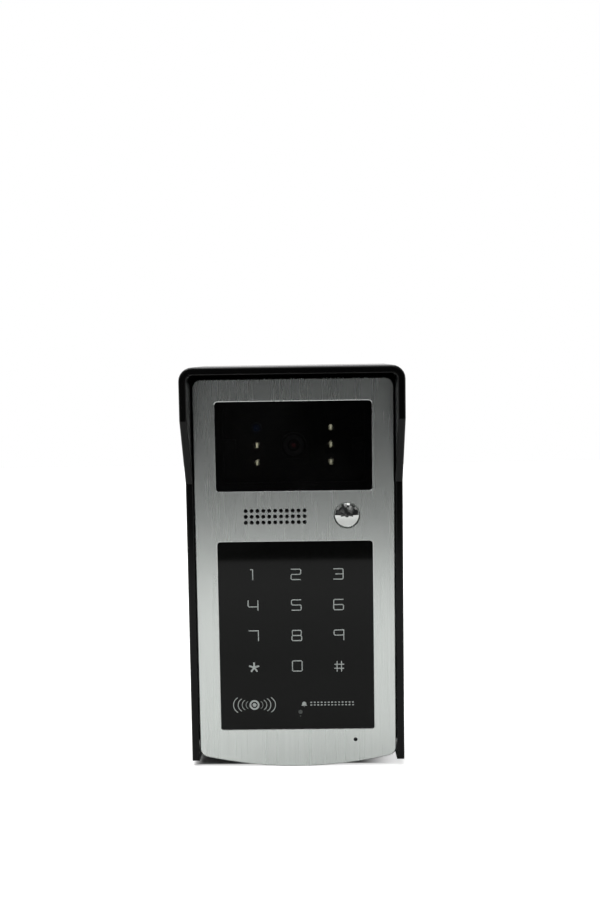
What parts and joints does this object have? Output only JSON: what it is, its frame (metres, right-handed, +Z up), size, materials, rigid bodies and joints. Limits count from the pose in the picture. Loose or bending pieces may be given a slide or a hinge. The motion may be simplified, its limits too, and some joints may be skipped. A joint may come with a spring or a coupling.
{
  "type": "door station",
  "caption": "Wall door station with a black rain hood: brushed panel, camera window, sound grille, sprung call button, touch keypad and card reader.",
  "frame": {"origin": "on the back face of the rain hood, on its middle line, 105 mm above the lowest point of the front panel", "axes": "+X to the right seen from the front, +Y into the wall, +Z up; the front faces -Y"},
  "size_m": [0.1114, 0.053, 0.2087],
  "materials": {
    "hood_plastic": "semi-gloss black moulded plastic",
    "brushed_aluminium": "vertical brushed grain, anodised, bright chamfer",
    "smoked_acrylic": "dark transparent acrylic, polished",
    "black_acrylic": "black polished acrylic",
    "black_plastic": "satin black moulded plastic",
    "black_rubber": "matt black",
    "circuit_board": "green solder mask on glass fibre",
    "black_solder_mask": "black solder mask on glass fibre",
    "lens_black": "satin black",
    "lens_glass": "coated lens, dark red sheen",
    "clear_lamp": "clear epoxy",
    "blue_lamp": "blue tinted epoxy",
    "sound_mesh": "woven acoustic mesh",
    "speaker_cone": "moulded film",
    "steel": "zinc plated",
    "diffuser": "white translucent",
    "white_plastic": "white",
    "copper_foil": "copper track",
    "can_aluminium": "plain can",
    "relay_blue": "blue case",
    "terminal_green": "green block",
    "ribbon": "flat flexible cable",
    "chrome": "polished chrome plate"
  },
  "bodies": {
    "station": {"rain_hood": "hood_plastic", "front_panel": "brushed_aluminium", "camera_window": "smoked_acrylic", "keypad_window": "black_acrylic", "front_housing": "black_plastic", "rear_cover": "black_plastic", "housing_seal": "black_rubber", "cable_grommet": "black_rubber", "camera_board": "circuit_board", "ir_led_board": "black_solder_mask", "lens_holder": "black_plastic", "lens_barrel": "lens_black", "lens_glass": "lens_glass", "ir_led_1": "clear_lamp", "ir_led_2": "clear_lamp", "ir_led_3": "clear_lamp", "ir_led_4": "clear_lamp", "ir_led_5": "clear_lamp", "light_sensor": "blue_lamp", "speaker_mesh": "sound_mesh", "speaker_frame": "black_plastic", "speaker_cone": "speaker_cone", "speaker_magnet": "steel", "microphone_boot": "black_rubber", "microphone_capsule": "steel", "button_spring": "steel", "switch_base": "black_plastic", "switch_board": "circuit_board", "keypad_board": "circuit_board", "keypad_light_guide": "diffuser", "status_led": "white_plastic", "rfid_antenna": "copper_foil", "main_board": "circuit_board", "main_processor": "black_plastic", "capacitor_1": "can_aluminium", "capacitor_2": "can_aluminium", "lock_relay": "relay_blue", "terminal_header": "terminal_green", "camera_ribbon": "ribbon", "board_screw_1": "steel", "board_screw_2": "steel", "board_screw_3": "steel", "board_screw_4": "steel", "camera_screw_1": "steel", "camera_screw_2": "steel", "switch_screw_1": "steel", "switch_screw_2": "steel", "housing_screw_1": "steel", "housing_screw_2": "steel", "housing_screw_3": "steel", "housing_screw_4": "steel", "hood_lock_screw": "steel"},
    "call_button": {"call_button_cap": "chrome", "button_clip": "steel"},
    "switch": {"switch_plunger": "white_plastic"}
  },
  "joints": [
    {"name": "call_button_press", "type": "slide", "parent": "station", "child": "call_button", "axis": [0, 1, 0], "range_m": [0, 0.001], "stiffness_N_per_m": 600, "springref_m": -0.001, "deforming": ["button_spring"]},
    {"name": "switch_press", "type": "slide", "parent": "station", "child": "switch", "axis": [0, 1, 0], "range_m": [0, 0.001], "stiffness_N_per_m": 100, "springref_m": -0.0005}
  ],
  "couplings": [
    {"joint": "switch_press", "follows": "call_button_press", "ratio": 1}
  ]
}
